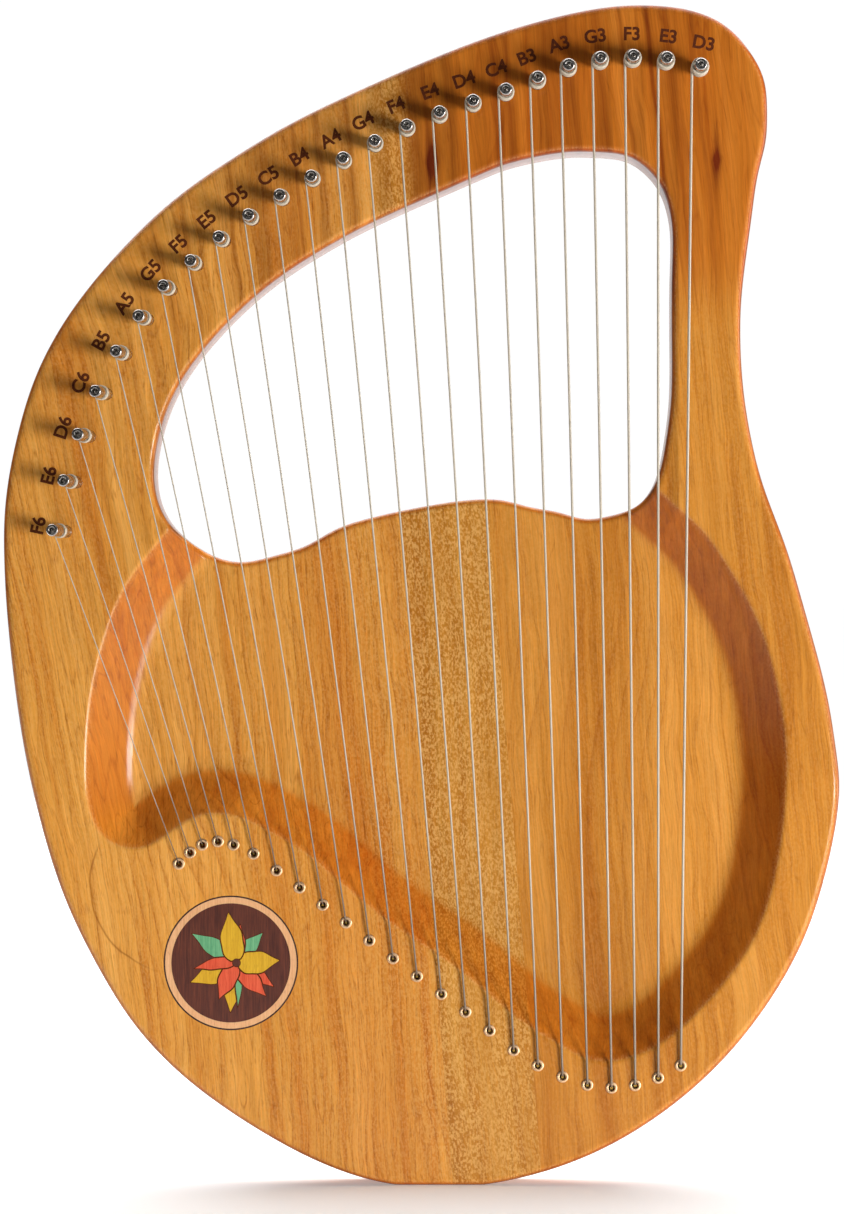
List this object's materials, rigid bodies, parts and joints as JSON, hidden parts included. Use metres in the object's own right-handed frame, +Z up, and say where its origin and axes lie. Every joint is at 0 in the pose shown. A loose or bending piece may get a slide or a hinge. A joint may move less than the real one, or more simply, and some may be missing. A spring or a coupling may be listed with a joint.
{
  "type": "lyre harp",
  "caption": "Free-standing wooden lyre harp with a carved dish, a handle opening, turning tuning pins and wire strings, and a round flower inlay.",
  "frame": {"origin": "below the middle of the harp at the level of its small flat foot, as it stands upright; centre of the bounding box in X and Y", "axes": "+Z up the body from foot to head; -Y out of the front face with the strings; +X to the right as seen from the front"},
  "size_m": [0.3753, 0.0501, 0.53],
  "materials": {
    "wood_left": "satin lacquer over golden straight-grained wood",
    "wood_centre": "satin lacquer over wood with silvery ray fleck",
    "wood_right": "satin lacquer over orange-brown wood",
    "pin_steel": "polished nickel plate",
    "string_wire": "bright drawn wire",
    "eyelet_brass": "pale polished brass",
    "ball_brass": "plain brass",
    "dark_line": "dyed or burnt dark line",
    "pale_veneer": "pale maple veneer",
    "rosewood_veneer": "reddish dark veneer, grain upright",
    "yellow_veneer": "yellow dyed veneer",
    "red_veneer": "orange-red dyed veneer",
    "green_veneer": "green dyed veneer"
  },
  "bodies": {
    "root": {"stave_left": "wood_left", "stave_centre_upper": "wood_centre", "stave_centre_lower": "wood_centre", "stave_right": "wood_right", "string_eyelets": "eyelet_brass", "string_ball_ends": "ball_brass", "inlay_purfling": "dark_line", "inlay_border": "pale_veneer", "inlay_disc": "rosewood_veneer", "inlay_petals_yellow": "yellow_veneer", "inlay_petals_red": "red_veneer", "inlay_leaves_green": "green_veneer", "string_01": "string_wire", "string_02": "string_wire", "string_03": "string_wire", "string_04": "string_wire", "string_05": "string_wire", "string_06": "string_wire", "string_07": "string_wire", "string_08": "string_wire", "string_09": "string_wire", "string_10": "string_wire", "string_11": "string_wire", "string_12": "string_wire", "string_13": "string_wire", "string_14": "string_wire", "string_15": "string_wire", "string_16": "string_wire", "string_17": "string_wire", "string_18": "string_wire", "string_19": "string_wire", "string_20": "string_wire", "string_21": "string_wire", "string_22": "string_wire", "string_23": "string_wire", "string_24": "string_wire"},
    "pin_01": {"tuning_pin_01": "pin_steel"},
    "pin_02": {"tuning_pin_02": "pin_steel"},
    "pin_03": {"tuning_pin_03": "pin_steel"},
    "pin_04": {"tuning_pin_04": "pin_steel"},
    "pin_05": {"tuning_pin_05": "pin_steel"},
    "pin_06": {"tuning_pin_06": "pin_steel"},
    "pin_07": {"tuning_pin_07": "pin_steel"},
    "pin_08": {"tuning_pin_08": "pin_steel"},
    "pin_09": {"tuning_pin_09": "pin_steel"},
    "pin_10": {"tuning_pin_10": "pin_steel"},
    "pin_11": {"tuning_pin_11": "pin_steel"},
    "pin_12": {"tuning_pin_12": "pin_steel"},
    "pin_13": {"tuning_pin_13": "pin_steel"},
    "pin_14": {"tuning_pin_14": "pin_steel"},
    "pin_15": {"tuning_pin_15": "pin_steel"},
    "pin_16": {"tuning_pin_16": "pin_steel"},
    "pin_17": {"tuning_pin_17": "pin_steel"},
    "pin_18": {"tuning_pin_18": "pin_steel"},
    "pin_19": {"tuning_pin_19": "pin_steel"},
    "pin_20": {"tuning_pin_20": "pin_steel"},
    "pin_21": {"tuning_pin_21": "pin_steel"},
    "pin_22": {"tuning_pin_22": "pin_steel"},
    "pin_23": {"tuning_pin_23": "pin_steel"},
    "pin_24": {"tuning_pin_24": "pin_steel"}
  },
  "joints": [
    {"name": "pin_01_turn", "type": "hinge", "parent": "root", "child": "pin_01", "pos_m": [0.124, -0.003, 0.5], "axis": [0, -1, 0], "continuous": true},
    {"name": "pin_02_turn", "type": "hinge", "parent": "root", "child": "pin_02", "pos_m": [0.10889, -0.003, 0.50289], "axis": [0, -1, 0], "continuous": true},
    {"name": "pin_03_turn", "type": "hinge", "parent": "root", "child": "pin_03", "pos_m": [0.09406, -0.003, 0.50389], "axis": [0, -1, 0], "continuous": true},
    {"name": "pin_04_turn", "type": "hinge", "parent": "root", "child": "pin_04", "pos_m": [0.0795, -0.003, 0.503], "axis": [0, -1, 0], "continuous": true},
    {"name": "pin_05_turn", "type": "hinge", "parent": "root", "child": "pin_05", "pos_m": [0.06535, -0.003, 0.49981], "axis": [0, -1, 0], "continuous": true},
    {"name": "pin_06_turn", "type": "hinge", "parent": "root", "child": "pin_06", "pos_m": [0.0516, -0.003, 0.49431], "axis": [0, -1, 0], "continuous": true},
    {"name": "pin_07_turn", "type": "hinge", "parent": "root", "child": "pin_07", "pos_m": [0.0375, -0.003, 0.489], "axis": [0, -1, 0], "continuous": true},
    {"name": "pin_08_turn", "type": "hinge", "parent": "root", "child": "pin_08", "pos_m": [0.02294, -0.003, 0.48401], "axis": [0, -1, 0], "continuous": true},
    {"name": "pin_09_turn", "type": "hinge", "parent": "root", "child": "pin_09", "pos_m": [0.00806, -0.003, 0.47893], "axis": [0, -1, 0], "continuous": true},
    {"name": "pin_10_turn", "type": "hinge", "parent": "root", "child": "pin_10", "pos_m": [-0.0065, -0.003, 0.473], "axis": [0, -1, 0], "continuous": true},
    {"name": "pin_11_turn", "type": "hinge", "parent": "root", "child": "pin_11", "pos_m": [-0.02072, -0.003, 0.46617], "axis": [0, -1, 0], "continuous": true},
    {"name": "pin_12_turn", "type": "hinge", "parent": "root", "child": "pin_12", "pos_m": [-0.03472, -0.003, 0.45856], "axis": [0, -1, 0], "continuous": true},
    {"name": "pin_13_turn", "type": "hinge", "parent": "root", "child": "pin_13", "pos_m": [-0.0485, -0.003, 0.4505], "axis": [-0.0157, -0.9999, 0], "continuous": true},
    {"name": "pin_14_turn", "type": "hinge", "parent": "root", "child": "pin_14", "pos_m": [-0.06215, -0.003, 0.4421], "axis": [-0.0314, -0.9995, 0], "continuous": true},
    {"name": "pin_15_turn", "type": "hinge", "parent": "root", "child": "pin_15", "pos_m": [-0.07568, -0.003, 0.43329], "axis": [-0.0471, -0.9989, 0], "continuous": true},
    {"name": "pin_16_turn", "type": "hinge", "parent": "root", "child": "pin_16", "pos_m": [-0.0885, -0.003, 0.4235], "axis": [-0.0628, -0.998, 0], "continuous": true},
    {"name": "pin_17_turn", "type": "hinge", "parent": "root", "child": "pin_17", "pos_m": [-0.10069, -0.003, 0.41299], "axis": [-0.0785, -0.9969, 0], "continuous": true},
    {"name": "pin_18_turn", "type": "hinge", "parent": "root", "child": "pin_18", "pos_m": [-0.11236, -0.003, 0.40185], "axis": [-0.0941, -0.9956, 0], "continuous": true},
    {"name": "pin_19_turn", "type": "hinge", "parent": "root", "child": "pin_19", "pos_m": [-0.123, -0.003, 0.3885], "axis": [-0.1097, -0.994, 0], "continuous": true},
    {"name": "pin_20_turn", "type": "hinge", "parent": "root", "child": "pin_20", "pos_m": [-0.13271, -0.003, 0.37283], "axis": [-0.1253, -0.9921, 0], "continuous": true},
    {"name": "pin_21_turn", "type": "hinge", "parent": "root", "child": "pin_21", "pos_m": [-0.14157, -0.003, 0.35511], "axis": [-0.1409, -0.99, 0], "continuous": true},
    {"name": "pin_22_turn", "type": "hinge", "parent": "root", "child": "pin_22", "pos_m": [-0.149, -0.003, 0.336], "axis": [-0.1564, -0.9877, 0], "continuous": true},
    {"name": "pin_23_turn", "type": "hinge", "parent": "root", "child": "pin_23", "pos_m": [-0.155, -0.003, 0.3155], "axis": [-0.1719, -0.9851, 0], "continuous": true},
    {"name": "pin_24_turn", "type": "hinge", "parent": "root", "child": "pin_24", "pos_m": [-0.15967, -0.003, 0.2935], "axis": [-0.1874, -0.9823, 0], "continuous": true}
  ]
}
